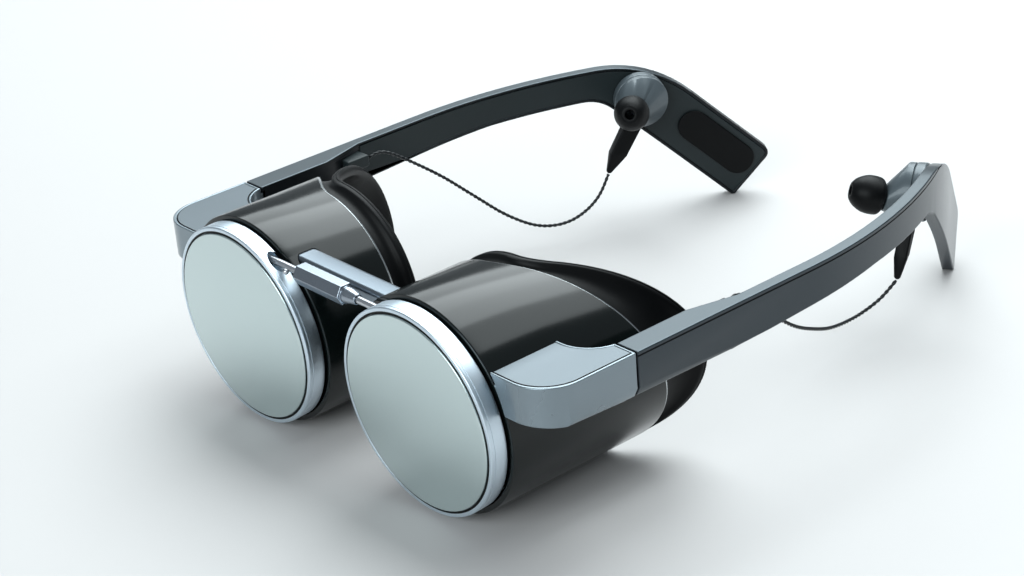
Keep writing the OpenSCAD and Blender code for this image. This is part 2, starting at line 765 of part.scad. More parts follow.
// A block set in the end of the tail, with z0 and z1 measured inward.
module socket_block(t, w, z0, z1) {
    middle = ([foot_x + foot_w, 0] + tip) / 2;
    translate(in_tail(arm_t / 2, middle[0], middle[1])) rotate([0, 0, head_turn])
        rotate([90 - tail_slope, 0, 0]) translate([-t / 2, -w / 2, z0]) cube([t, w, z1 - z0]);
}
module socket_room() {
    socket_block(socket_t + 2 * seat_gap, socket_w + 2 * seat_gap, -1, socket_len + seat_gap);
}
module signal_socket() {
    wall = 0.5;
    color([0.6, 0.6, 0.62]) side(1) difference() {
        socket_block(socket_t, socket_w, 0.2, socket_len);
        socket_block(socket_t - 2 * wall, socket_w - 2 * wall, -1, socket_len - 1.5);
    }
}
module driver_board() {
    depth = arm_t - cover_t - channel + board_t / 2 + seat_gap;
    color([0.05, 0.25, 0.16]) side(1) translate(in_tail(depth, 5, 19)) rotate([0, 0, head_turn])
        rotate([90, 0, -90]) rotate([0, 0, tail_slope]) cube([board_l, 6, board_t], center = true);
}

bridge_beam();
adjuster_nut();
front_glass(1);  // left_front_glass
glass_gasket(1);  // left_glass_gasket
front_ring(1);  // left_front_ring
gap_seal(1);  // left_gap_seal
barrel_shell(1);  // left_barrel_shell
bridge_guide(1);  // left_bridge_guide
adjuster_rod(1);  // left_adjuster_rod
lens_tube(1);  // left_lens_tube
display_board(1);  // left_display_board
display_panel(1);  // left_display_panel
eyepiece_lens(1);  // left_eyepiece_lens
eye_cup(1);  // left_eye_cup
end_piece(1);  // left_end_piece
end_plate(1);  // left_end_plate
end_screws(1);  // left_end_screws
hinge_pin(1);  // left_hinge_pin
temple_shell(1);  // left_temple_shell
temple_cover(1);  // left_temple_cover
tip_pad(1);  // left_tip_pad
cord_gland(1);  // left_cord_gland
earphone_dock(1);  // left_earphone_dock
cord(left_cord_path);  // left_cord
earphone_back(1);  // left_earphone_back
speaker(1);  // left_speaker
earphone_housing(1);  // left_earphone_housing
ear_tip(1);  // left_ear_tip
cord_stem(1);  // left_cord_stem
front_glass(-1);  // right_front_glass
glass_gasket(-1);  // right_glass_gasket
front_ring(-1);  // right_front_ring
gap_seal(-1);  // right_gap_seal
barrel_shell(-1);  // right_barrel_shell
bridge_guide(-1);  // right_bridge_guide
adjuster_rod(-1);  // right_adjuster_rod
lens_tube(-1);  // right_lens_tube
display_board(-1);  // right_display_board
display_panel(-1);  // right_display_panel
eyepiece_lens(-1);  // right_eyepiece_lens
eye_cup(-1);  // right_eye_cup
end_piece(-1);  // right_end_piece
end_plate(-1);  // right_end_plate
end_screws(-1);  // right_end_screws
hinge_pin(-1);  // right_hinge_pin
temple_shell(-1);  // right_temple_shell
temple_cover(-1);  // right_temple_cover
tip_pad(-1);  // right_tip_pad
cord_gland(-1);  // right_cord_gland
earphone_dock(-1);  // right_earphone_dock
cord(right_cord_path);  // right_cord
earphone_back(-1);  // right_earphone_back
speaker(-1);  // right_speaker
earphone_housing(-1);  // right_earphone_housing
ear_tip(-1);  // right_ear_tip
cord_stem(-1);  // right_cord_stem
signal_socket();
driver_board();
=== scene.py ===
import math

import bmesh
import bpy
from mathutils import Matrix, Vector


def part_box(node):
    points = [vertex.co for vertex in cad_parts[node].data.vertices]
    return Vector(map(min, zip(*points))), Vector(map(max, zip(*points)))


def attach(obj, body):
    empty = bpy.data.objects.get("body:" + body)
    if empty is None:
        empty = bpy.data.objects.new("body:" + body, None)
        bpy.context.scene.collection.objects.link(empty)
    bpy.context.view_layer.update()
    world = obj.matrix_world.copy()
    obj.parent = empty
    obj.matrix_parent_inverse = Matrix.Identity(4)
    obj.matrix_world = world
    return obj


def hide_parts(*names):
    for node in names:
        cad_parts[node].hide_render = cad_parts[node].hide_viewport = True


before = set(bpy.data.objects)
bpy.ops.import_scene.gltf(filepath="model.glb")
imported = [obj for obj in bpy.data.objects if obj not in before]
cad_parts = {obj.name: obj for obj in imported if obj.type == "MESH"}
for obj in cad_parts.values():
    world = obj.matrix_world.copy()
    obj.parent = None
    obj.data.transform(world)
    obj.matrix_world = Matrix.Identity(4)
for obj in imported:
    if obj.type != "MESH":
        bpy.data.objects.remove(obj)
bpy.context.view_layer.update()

scene = bpy.context.scene
SIDES = (("left", 1), ("right", -1))

# ---- Camera ----------------------------------------------------------------
# The glasses stand open on a table, seen from the front and a little above,
# from the wearer's left. Lengths are drawn in millimetres, with Y measured
# from the plane of the front rings.
front_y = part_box("left_end_piece")[0][1] - 0.0042


def at(x, y, z):
    return Vector((x / 1000, front_y + y / 1000, z / 1000))


camera = bpy.data.objects.new("camera", bpy.data.cameras.new("camera"))
scene.collection.objects.link(camera)
cam_right = Vector((0.6581, 0.7493, -0.0741)).normalized()
cam_back = Vector((0.6969, -0.5689, 0.4368)).normalized()
cam_up = cam_back.cross(cam_right).normalized()
cam_right = cam_up.cross(cam_back)
camera.matrix_world = Matrix.Translation(at(421.3, -286.3, 290.2)) @ Matrix(
    (cam_right, cam_up, cam_back)).transposed().to_4x4()
camera.data.lens = 86.2
camera.data.sensor_width = 36
camera.data.clip_start = 0.01
scene.camera = camera
scene.view_settings.view_transform = "Standard"

# ---- Table and light -------------------------------------------------------
# A pale matt table that runs out to the horizon, a soft white room, and four long lamps side by side overhead,
# the second the brightest and the last the dimmest, whose edges show as bands along the barrels.
floor_mesh = bpy.data.meshes.new("floor")
floor_mesh.from_pydata([(-6, -6, 0), (6, -6, 0), (6, 6, 0), (-6, 6, 0)], [], [(0, 1, 2, 3)])
floor = bpy.data.objects.new("floor", floor_mesh)
scene.collection.objects.link(floor)
floor_mat = bpy.data.materials.new("table")
floor_mat.use_nodes = True
floor_bsdf = floor_mat.node_tree.nodes["Principled BSDF"]
floor_bsdf.inputs["Base Color"].default_value = (0.55, 0.535, 0.53, 1)
floor_bsdf.inputs["Roughness"].default_value = 0.55
floor_bsdf.inputs["Specular IOR Level"].default_value = 0.3
floor_mesh.materials.append(floor_mat)

world = bpy.data.worlds.new("room")
world.use_nodes = True
world.node_tree.nodes["Background"].inputs["Color"].default_value = (0.84, 0.93, 1.0, 1)
world.node_tree.nodes["Background"].inputs["Strength"].default_value = 0.3
scene.world = world


def soft_box(name, place, target, wide, high, power):
    data = bpy.data.lights.new(name, "AREA")
    data.shape = "RECTANGLE"
    data.size = wide
    data.size_y = high
    data.energy = power
    data.color = (0.90, 0.98, 1.0)
    lamp = bpy.data.objects.new(name, data)
    scene.collection.objects.link(lamp)
    lamp.location = place
    lamp.rotation_euler = (Vector(target) - Vector(place)).to_track_quat("-Z", "Y").to_euler()
    return lamp


LAMP_R, LAMP_LONG, LAMP_Y = 1.3, 1.4, 0.85
for number, (start, end, glow) in enumerate(((-59, -37, 3.8), (-37, -17, 7.2), (-17, 6, 6.6), (6, 34, 3.0))):
    middle = math.radians((start + end) / 2)
    width = 2 * LAMP_R * math.tan(math.radians((end - start) / 2))
    soft_box(f"lamp_{number}", (LAMP_R * math.sin(middle), LAMP_Y, LAMP_R * math.cos(middle)), (0, LAMP_Y, 0),
             LAMP_LONG, width, glow * math.pi * LAMP_LONG * width)
soft_box("front_fill", (0.5, -1.6, 0.9), (0, 0, 0.03), 1.4, 0.8, 22)

# ---- Earphone cords --------------------------------------------------------
# Each cord is a pair of thin enamelled wires twisted together and lacquered.
# It leaves the gland in the temple, sags, and ends in the earphone's stem.
CORD_D = 1.0
WIRE_R = 0.32
WIRE_SIDES = 10
TURNS_PER_METRE = 330
STEP = 0.0003
cord_routes = {
    "left": [(66.5, 66.2, 40), (65.5, 69, 40.6), (65, 73, 39), (64, 79, 33.5), (62.5, 86, 27.5),
             (61, 94, 21.5), (58.5, 103, 16.5), (55.5, 112, 12.3), (53, 121, 9.8),
             (51.5, 129, 9), (52, 135, 10.8), (53, 139.4, 14.2)],
    "right": [(-66.5, 66.2, 40), (-65.5, 69, 41), (-65, 73, 39.6), (-64, 80, 34.6), (-62.5, 88, 28.2),
              (-60.5, 97, 19.8), (-58, 105, 12.4), (-55, 113, 7.2), (-52, 120, 6),
              (-51, 127, 7), (-51.7, 134, 9.6), (-53, 139.4, 14.2)],
}


COAT_ROUGH = 0.08
GLOSS_SWING = 0.05
GRAIN_DEPTH = 0.00005
# Width of the painted edge highlight, the band along edges whose colour is painted paler.
EDGE_HIGHLIGHT_WIDTH = 0.0003


def surface(name, colour, rough, metal=0.0, coat=0.0, grain=0.04, grain_size=0.35, edge_highlight=0.0,
            tone=0.08, tone_size=14.0, spec=0.5, stretch=(1, 1, 1)):
    """A finish with a slow change of tone and gloss, a fine grain in relief, and a painted highlight: paler
    colour along the edges.
    """
    mat = bpy.data.materials.new(name)
    mat.use_nodes = True
    tree = mat.node_tree
    bsdf = tree.nodes["Principled BSDF"]
    bsdf.inputs["Metallic"].default_value = metal
    bsdf.inputs["Coat Weight"].default_value = coat
    bsdf.inputs["Coat Roughness"].default_value = COAT_ROUGH
    bsdf.inputs["Specular IOR Level"].default_value = spec
    place = tree.nodes.new("ShaderNodeTexCoord")
    mapping = tree.nodes.new("ShaderNodeMapping")
    mapping.inputs["Scale"].default_value = stretch
    tree.links.new(place.outputs["Object"], mapping.inputs["Vector"])

    def noise(size, detail):
        node = tree.nodes.new("ShaderNodeTexNoise")
        node.inputs["Scale"].default_value = 1000 / size
        node.inputs["Detail"].default_value = detail
        tree.links.new(mapping.outputs["Vector"], node.inputs["Vector"])
        return node.outputs["Fac"]

    slow = noise(tone_size, 3)
    fine = noise(grain_size, 2)
    ramp = tree.nodes.new("ShaderNodeMix")
    ramp.data_type = "RGBA"
    ramp.inputs["A"].default_value = [c * (1 - tone) for c in colour] + [1]
    ramp.inputs["B"].default_value = [min(1, c * (1 + tone)) for c in colour] + [1]
    tree.links.new(slow, ramp.inputs["Factor"])
    shade = ramp.outputs["Result"]
    # Painted highlight: a bevel mask finds the rounded edges and paints them paler, standing in for the light
    # they catch.
    if edge_highlight:
        bevel = tree.nodes.new("ShaderNodeBevel")
        bevel.samples = 4
        bevel.inputs["Radius"].default_value = EDGE_HIGHLIGHT_WIDTH
        geometry = tree.nodes.new("ShaderNodeNewGeometry")
        dot = tree.nodes.new("ShaderNodeVectorMath")
        dot.operation = "DOT_PRODUCT"
        tree.links.new(bevel.outputs["Normal"], dot.inputs[0])
        tree.links.new(geometry.outputs["Normal"], dot.inputs[1])
        edge = tree.nodes.new("ShaderNodeMapRange")
        edge.inputs["From Min"].default_value = 0.99
        edge.inputs["From Max"].default_value = 0.85
        edge.inputs["To Max"].default_value = edge_highlight
        tree.links.new(dot.outputs["Value"], edge.inputs["Value"])
        highlighted = tree.nodes.new("ShaderNodeMix")
        highlighted.data_type = "RGBA"
        highlighted.inputs["B"].default_value = [min(1, c * 1.9 + 0.05) for c in colour] + [1]
        tree.links.new(edge.outputs["Result"], highlighted.inputs["Factor"])
        tree.links.new(shade, highlighted.inputs["A"])
        shade = highlighted.outputs["Result"]
    tree.links.new(shade, bsdf.inputs["Base Color"])
    gloss = tree.nodes.new("ShaderNodeMapRange")
    gloss.inputs["To Min"].default_value = rough - GLOSS_SWING
    gloss.inputs["To Max"].default_value = rough + GLOSS_SWING
    tree.links.new(slow, gloss.inputs["Value"])
    tree.links.new(gloss.outputs["Result"], bsdf.inputs["Roughness"])
    bump = tree.nodes.new("ShaderNodeBump")
    bump.inputs["Strength"].default_value = grain
    bump.inputs["Distance"].default_value = GRAIN_DEPTH
    tree.links.new(fine, bump.inputs["Height"])
    tree.links.new(bump.outputs["Normal"], bsdf.inputs["Normal"])
    return mat


def smooth_path(points, per=4):
    """The smooth curve through a route's points."""
    line = []
    for i in range(len(points) - 1):
        a, b, c, d = (Vector(points[max(i - 1, 0)]), Vector(points[i]), Vector(points[i + 1]),
                      Vector(points[min(i + 2, len(points) - 1)]))
        for j in range(per):
            t = j / per
            line.append(0.5 * (2 * b + (c - a) * t + (2 * a - 5 * b + 4 * c - d) * t * t
                               + (3 * b - a - 3 * c + d) * t ** 3))
    return line + [Vector(points[-1])]


def twisted_pair_tree(material):
    """Two round wires side by side, turned about the route as they follow it."""
    tree = bpy.data.node_groups.new("twisted_pair", "GeometryNodeTree")
    face = tree.interface
    face.new_socket("Geometry", in_out="INPUT", socket_type="NodeSocketGeometry")
    for name in ("Wire radius", "Wire offset", "Turns per metre"):
        face.new_socket(name, in_out="INPUT", socket_type="NodeSocketFloat")
    face.new_socket("Geometry", in_out="OUTPUT", socket_type="NodeSocketGeometry")
    put = tree.nodes.new
    link = tree.links.new
    ends = put("NodeGroupInput")
    out = put("NodeGroupOutput")
    resample = put("GeometryNodeResampleCurve")
    resample.mode = "LENGTH"
    resample.inputs["Length"].default_value = STEP
    link(ends.outputs["Geometry"], resample.inputs["Curve"])
    length = put("GeometryNodeSplineParameter")
    turns = put("ShaderNodeMath")
    turns.operation = "MULTIPLY"
    link(length.outputs["Length"], turns.inputs[0])
    link(ends.outputs["Turns per metre"], turns.inputs[1])
    angle = put("ShaderNodeMath")
    angle.operation = "MULTIPLY"
    angle.inputs[1].default_value = 2 * math.pi
    link(turns.outputs[0], angle.inputs[0])
    tilt = put("GeometryNodeSetCurveTilt")
    link(resample.outputs["Curve"], tilt.inputs["Curve"])
    link(angle.outputs[0], tilt.inputs["Tilt"])
    circle = put("GeometryNodeCurvePrimitiveCircle")
    circle.inputs["Resolution"].default_value = WIRE_SIDES
    link(ends.outputs["Wire radius"], circle.inputs["Radius"])
    both = put("GeometryNodeJoinGeometry")
    for way in (1, -1):
        size = put("ShaderNodeMath")
        size.operation = "MULTIPLY"
        size.inputs[1].default_value = way
        link(ends.outputs["Wire offset"], size.inputs[0])
        shift = put("ShaderNodeCombineXYZ")
        link(size.outputs[0], shift.inputs["X"])
        move = put("GeometryNodeTransform")
        link(circle.outputs["Curve"], move.inputs["Geometry"])
        link(shift.outputs["Vector"], move.inputs["Translation"])
        link(move.outputs["Geometry"], both.inputs["Geometry"])
    sweep = put("GeometryNodeCurveToMesh")
    sweep.inputs["Fill Caps"].default_value = True
    link(tilt.outputs["Curve"], sweep.inputs["Curve"])
    link(both.outputs["Geometry"], sweep.inputs["Profile Curve"])
    real = put("GeometryNodeRealizeInstances")
    paint = put("GeometryNodeSetMaterial")
    paint.inputs["Material"].default_value = material
    link(sweep.outputs["Mesh"], real.inputs["Geometry"])
    link(real.outputs["Geometry"], paint.inputs["Geometry"])
    link(paint.outputs["Geometry"], out.inputs["Geometry"])
    return tree


def baked(curve, tree, name, values):
    """Runs a node tree on an object and keeps the result as a plain mesh."""
    modifier = curve.modifiers.new("build", "NODES")
    modifier.node_group = tree
    for item in tree.interface.items_tree:
        if item.item_type == "SOCKET" and item.in_out == "INPUT" and item.name in values:
            modifier[item.identifier] = values[item.name]
    graph = bpy.context.evaluated_depsgraph_get()
    mesh = bpy.data.meshes.new_from_object(curve.evaluated_get(graph))
    mesh.name = name
    piece = bpy.data.objects.new(name, mesh)
    scene.collection.objects.link(piece)
    bpy.data.objects.remove(curve)
    return piece


def wholly_smooth(mesh):
    mesh.polygons.foreach_set("use_smooth", [True] * len(mesh.polygons))
    mesh.update()


cord_mat = surface("cord_lacquer", (0.010, 0.012, 0.014), 0.35, coat=0.1, grain=0.02, spec=0.3)
pair_tree = twisted_pair_tree(cord_mat)
for side, sign in SIDES:
    route = [at(*p) for p in smooth_path(cord_routes[side])]
    data = bpy.data.curves.new(f"{side}_route", "CURVE")
    data.dimensions = "3D"
    spline = data.splines.new("POLY")
    spline.points.add(len(route) - 1)
    for point, p in zip(spline.points, route):
        point.co = (*p, 1)
    line = bpy.data.objects.new(f"{side}_route", data)
    scene.collection.objects.link(line)
    cord = baked(line, pair_tree, f"{side}_twisted_cord", {
        "Wire radius": WIRE_R / 1000, "Wire offset": (CORD_D / 2 - WIRE_R) / 1000,
        "Turns per metre": TURNS_PER_METRE})
    wholly_smooth(cord.data)
    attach(cord, f"{side}_temple")
    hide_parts(f"{side}_cord")

# ---- Bridge ----------------------------------------------------------------
# An extruded and satin-anodised aluminium bar that slides in both barrels,
# with a bright turned nut in front whose two rods spread or close them.


SAME_POINT, SHORT_EDGE, SAME_PLANE = 2e-6, 6e-5, 0.4


def worked(node, name, body, materials, edge=0.2, segments=3, angle=30.0, pick=None, edge_slot=-1,
           levels=()):
    """A finer copy of a CAD node: one skin, its edges broken by a small radius, cut at the given heights."""
    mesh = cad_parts[node].data.copy()
    mesh.name = name
    mesh.materials.clear()
    for mat in materials:
        mesh.materials.append(mat)
    work = bmesh.new()
    work.from_mesh(mesh)
    bmesh.ops.remove_doubles(work, verts=work.verts, dist=SAME_POINT)
    bmesh.ops.dissolve_degenerate(work, dist=SHORT_EDGE, edges=work.edges)
    bmesh.ops.dissolve_limit(work, angle_limit=math.radians(SAME_PLANE), verts=work.verts, edges=work.edges)
    for level in levels:
        bmesh.ops.bisect_plane(work, geom=work.verts[:] + work.edges[:] + work.faces[:],
                               plane_co=at(0, 0, level), plane_no=(0, 0, 1))
    work.normal_update()
    for face in work.faces:
        face.smooth = True
        face.material_index = pick(face) if pick else 0
    for seam in work.edges:
        seam.smooth = len(seam.link_faces) == 2 and seam.calc_face_angle(0) < math.radians(angle)
    work.to_mesh(mesh)
    work.free()
    piece = bpy.data.objects.new(name, mesh)
    scene.collection.objects.link(piece)
    if edge:
        soften = piece.modifiers.new("edges", "BEVEL")
        soften.width = edge / 1000
        soften.segments = segments
        soften.limit_method = "ANGLE"
        soften.angle_limit = math.radians(angle)
        soften.harden_normals = True
        soften.material = edge_slot
        soften.use_clamp_overlap = False
    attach(piece, body)
    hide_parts(node)
    return piece


satin = surface("satin_anodised", (0.19, 0.225, 0.26), 0.32, metal=1.0, grain=0.05, grain_size=0.25,
                stretch=(0.1, 1, 1), edge_highlight=0.25)
bright = surface("bright_turned", (0.34, 0.38, 0.43), 0.25, metal=1.0, grain=0.03, grain_size=0.3,
                 stretch=(1, 0.2, 0.2), edge_highlight=0.3)
worked("bridge_beam", "bridge_bar", "bridge", [satin], edge=0.1)
worked("adjuster_nut", "adjuster_turnbuckle", "adjuster", [bright], edge=0.18)
steel = surface("plain_steel", (0.55, 0.57, 0.60), 0.28, metal=1.0, grain=0.03)
for side, sign in SIDES:
    worked(f"{side}_adjuster_rod", f"{side}_spread_rod", f"{side}_barrel", [steel], edge=0.1)

# ---- Front rings and glasses -----------------------------------------------
# Each barrel ends in a turned aluminium ring with a narrow lip and a fine
# groove. A half-mirrored flat glass lies in it on a thin black gasket.
CREASE = math.radians(32)
AXIS_X, AXIS_Z, SHELL_R, BORE_R, RING_R, GLASS_R = 33.0, 27.1, 27.1, 25.8, 25.8, 24.3
LEAN = math.radians(3)
ROUND = 192


def on_barrel(sign, x, y, z):
    return at(sign * (AXIS_X + x), y, AXIS_Z + z)


def leaning(x, y, z):
    return x, y * math.cos(LEAN) - z * math.sin(LEAN), y * math.sin(LEAN) + z * math.cos(LEAN)


def rounded(points, radii, steps=5):
    """A profile's corners drawn as small arcs. Points are (y, r)."""
    out = []
    for i, p in enumerate(points):
        p = Vector(p)
        if not radii[i]:
            out.append(p)
            continue
        a = Vector(points[i - 1]) - p
        b = Vector(points[(i + 1) % len(points)]) - p
        reach = min(radii[i], a.length * 0.49, b.length * 0.49)
        start, end = p + a.normalized() * reach, p + b.normalized() * reach
        for k in range(steps + 1):
            t = k / steps
            out.append(start * (1 - t) ** 2 + p * 2 * t * (1 - t) + end * t ** 2)
    return out


def turned(name, profile, place, closed, materials, body, nodes, steps=ROUND):
    """A lathe-turned piece: the profile runs round the axis that place() sets."""
    work = bmesh.new()
    rings = []
    for y, r in profile:
        if r < 1e-6:
            rings.append([work.verts.new(place(0, y, 0))])
        else:
            rings.append([work.verts.new(place(r * math.cos(2 * math.pi * k / steps), y,
                                               r * math.sin(2 * math.pi * k / steps)))
                          for k in range(steps)])
    pairs = list(zip(rings, rings[1:])) + ([(rings[-1], rings[0])] if closed else [])
    for a, b in pairs:
        for k in range(steps):
            m = (k + 1) % steps
            if len(a) == 1:
                work.faces.new((a[0], b[k], b[m]))
            elif len(b) == 1:
                work.faces.new((a[k], a[m], b[0]))
            else:
                work.faces.new((a[k], a[m], b[m], b[k]))
    bmesh.ops.recalc_face_normals(work, faces=work.faces)
    for face in work.faces:
        face.smooth = True
    for seam in work.edges:
        seam.smooth = seam.calc_face_angle(0) < CREASE
    mesh = bpy.data.meshes.new(name)
    work.to_mesh(mesh)
    work.free()
    for mat in materials:
        mesh.materials.append(mat)
    piece = bpy.data.objects.new(name, mesh)
    scene.collection.objects.link(piece)
    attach(piece, body)
    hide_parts(*nodes)
    return piece


def cut(piece, cutters):
    """Takes the cutters' shapes out of a piece for good."""
    for cutter in cutters:
        modifier = piece.modifiers.new("cut", "BOOLEAN")
        modifier.operation = "DIFFERENCE"
        modifier.solver = "EXACT"
        modifier.object = cutter
    graph = bpy.context.evaluated_depsgraph_get()
    mesh = bpy.data.meshes.new_from_object(piece.evaluated_get(graph))
    piece.modifiers.clear()
    piece.data = mesh
    for cutter in cutters:
        bpy.data.objects.remove(cutter)
    for polygon in mesh.polygons:
        polygon.use_smooth = True
    work = bmesh.new()
    work.from_mesh(mesh)
    bmesh.ops.remove_doubles(work, verts=work.verts, dist=1e-6)
    for seam in work.edges:
        seam.smooth = seam.calc_face_angle(0) < CREASE
    work.to_mesh(mesh)
    work.free()


def bar_cutter(place, outline, x0, x1):
    """A prism along X, from an outline in Y and Z, kept only for cutting."""
    work = bmesh.new()
    ends = [[work.verts.new(place(x, y, z)) for y, z in outline] for x in (x0, x1)]
    work.faces.new(ends[0])
    work.faces.new(ends[1][::-1])
    n = len(outline)
    for k in range(n):
        work.faces.new((ends[0][k], ends[1][k], ends[1][(k + 1) % n], ends[0][(k + 1) % n]))
    bmesh.ops.recalc_face_normals(work, faces=work.faces)
    mesh = bpy.data.meshes.new("cutter")
    work.to_mesh(mesh)
    work.free()
    cutter = bpy.data.objects.new("cutter", mesh)
    scene.collection.objects.link(cutter)
    cutter.hide_render = True
    return cutter


def circle_outline(cy, cz, r, steps=40):
    return [(cy + r * math.cos(2 * math.pi * k / steps), cz + r * math.sin(2 * math.pi * k / steps))
            for k in range(steps)]


mirror_glass = surface("half_mirror", (0.60, 0.70, 0.70), 0.22, metal=0.92, coat=0.25, grain=0.0, tone=0.03,
                       tone_size=60)
ring_metal = surface("turned_ring", (0.68, 0.78, 0.86), 0.36, metal=1.0, grain=0.04, grain_size=0.3,
                     edge_highlight=0.35, tone=0.05)
black_rubber = surface("black_rubber", (0.0016, 0.002, 0.0024), 0.45, spec=0.14, grain=0.15, grain_size=0.25,
                       tone=0.2)
NUT_Y, NUT_Z, ROD_R, ROD_END = 2.1, 0.833 * BORE_R - 0.3, 0.9, 26.0
ROD_ROOM, ROD_SUNK = 0.9, 4.5
ring_profile = rounded(
    [(7, 22.8), (1.1, 22.8), (1.1, 24.8), (0, 24.8), (0, 25.8), (0.95, 25.8), (1.0, 25.66), (1.14, 25.66),
     (1.19, 25.8), (4.6, 25.8), (4.6, 24.9), (6.4, 24.9), (7, 24.9)],
    [0, 0, 0, 0.12, 0.5, 0.05, 0, 0, 0.05, 0.3, 0, 0, 0])
glass_profile = rounded([(1.1, 0), (1.1, 24.2), (-0.3, 24.2), (-0.3, 0)], [0, 0.1, 0.35, 0])
for side, sign in SIDES:
    place = lambda x, y, z, sign=sign: on_barrel(sign, *leaning(x, y, z))
    ring = turned(f"{side}_turned_ring", ring_profile, place, True, [ring_metal], f"{side}_barrel",
                  [f"{side}_front_ring"])
    straight = lambda x, y, z, sign=sign: on_barrel(sign, x, y, z)
    cut(ring, [bar_cutter(straight, circle_outline(NUT_Y, NUT_Z, ROD_R + ROD_ROOM), -AXIS_X,
                          ROD_END - ROD_SUNK - AXIS_X)])
    turned(f"{side}_mirror_glass", glass_profile, place, False, [mirror_glass], f"{side}_barrel",
           [f"{side}_front_glass"])
    for node in ("glass_gasket", "gap_seal"):
        worked(f"{side}_{node}", f"{side}_{node}_rubber", f"{side}_barrel", [black_rubber],
               edge=0)

# ---- Barrel shells ---------------------------------------------------------
# Short aluminium tubes with a satin dark grey coat. The rear edge is cut on a
# slant toward the temple and finished with a narrow bright bevel.


SHELL_FRONT, SHELL_REAR, SHELL_SWEEP, SHELL_RAKE, SHELL_NOSE, SHELL_BLEND = 5.2, 37, 28, 16, 27.5, 1.5


def shell_front_y(x, z):
    return (SHELL_FRONT - z * math.sin(LEAN)) / math.cos(LEAN)


def slant_y(x, z, start, sweep, rake, nose, blend):
    """The slanted cut and the square one at the nose, run together over a short curve."""
    a, b = math.radians(sweep), math.radians(rake)
    slanted = start + x * math.tan(a) - z * math.tan(b) / math.cos(a)
    over = max(blend - abs(nose - slanted), 0) / blend
    return max(nose, slanted) + over * over * blend / 4


def shell_rear_y(x, z):
    return slant_y(x, z, SHELL_REAR, SHELL_SWEEP, SHELL_RAKE, SHELL_NOSE, SHELL_BLEND)


def lofted(name, sections, place, materials, body, nodes, pick=None):
    """A closed tube wall: the same profile points at every angle round the axis."""
    work = bmesh.new()
    rings = [[work.verts.new(place(*p)) for p in section] for section in sections]
    n, m = len(rings), len(rings[0])
    for i in range(n):
        for k in range(m):
            a, b = rings[i], rings[(i + 1) % n]
            face = work.faces.new((a[k], a[(k + 1) % m], b[(k + 1) % m], b[k]))
            face.smooth = True
            face.material_index = pick(k) if pick else 0
    bmesh.ops.recalc_face_normals(work, faces=work.faces)
    for seam in work.edges:
        seam.smooth = seam.calc_face_angle(0) < CREASE
    mesh = bpy.data.meshes.new(name)
    work.to_mesh(mesh)
    work.free()
    for mat in materials:
        mesh.materials.append(mat)
    piece = bpy.data.objects.new(name, mesh)
    scene.collection.objects.link(piece)
    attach(piece, body)
    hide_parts(*nodes)
    return piece


shell_coat = surface("satin_dark_coat", (0.003, 0.005, 0.005), 0.15, spec=0.36, coat=0.0, grain=0.03,
                     grain_size=0.2, edge_highlight=0.0, tone=0.05, tone_size=30)
bare_edge = surface("bright_bevel", (0.42, 0.45, 0.46), 0.25, metal=1.0, grain=0.02)
BEAM_Y, BEAM_Z, BEAM_W, BEAM_H = 6.4, 0.833 * BORE_R, 6.4, 4.6
SLIDE_GAP, SLOT_CORNER = 0.2, 1.6
SCREW_YS, SCREW_Z, SCREW_HOLE_R = (11, 19), 9.9, 0.8


def slot_outline(grow, corner, steps=6):
    y0, y1 = BEAM_Y - grow, BEAM_Y + BEAM_W + grow
    z0, z1 = BEAM_Z - BEAM_H - grow, BEAM_Z + grow
    out = []
    for cy, cz, a0 in ((y1 - corner, z1 - corner, 0), (y0 + corner, z1 - corner, 90),
                       (y0 + corner, z0 + corner, 180), (y1 - corner, z0 + corner, 270)):
        for k in range(steps + 1):
            a = math.radians(a0 + 90 * k / steps)
            out.append((cy + corner * math.cos(a), cz + corner * math.sin(a)))
    return out


for side, sign in SIDES:
    sections = []
    for k in range(ROUND * 2):
        a = math.pi * k / ROUND
        c, s = math.cos(a), math.sin(a)
        outer, inner = (SHELL_R * c, SHELL_R * s), (BORE_R * c, BORE_R * s)
        fo, fi = shell_front_y(*outer), shell_front_y(*inner)
        ro, ri = shell_rear_y(*outer), shell_rear_y(*inner)
        wall = [(fi, BORE_R), (fo, SHELL_R - 0.3), (fo + 0.09, SHELL_R - 0.09), (fo + 0.3, SHELL_R),
                ((fo + ro) / 2, SHELL_R), (ro - 0.75, SHELL_R), (ro - 0.6, SHELL_R - 0.03),
                (ro - 0.06, SHELL_R - 0.34), (ro - 0.02, SHELL_R - 0.42), (ri, BORE_R + 0.1),
                (ri - 0.2, BORE_R), ((fi + ri) / 2, BORE_R)]
        sections.append([(r * c, y, r * s) for y, r in wall])
    place = lambda x, y, z, sign=sign: on_barrel(sign, x, y, z)
    shell = lofted(f"{side}_shell_tube", sections, place, [shell_coat, bare_edge], f"{side}_barrel",
                   [f"{side}_barrel_shell"], pick=lambda k: 1 if 5 <= k <= 8 else 0)
    cut(shell, [bar_cutter(place, slot_outline(SLIDE_GAP, SLOT_CORNER), -AXIS_X, 0)]
        + [bar_cutter(place, circle_outline(y, SCREW_Z, SCREW_HOLE_R, 24), 0, 30) for y in SCREW_YS])

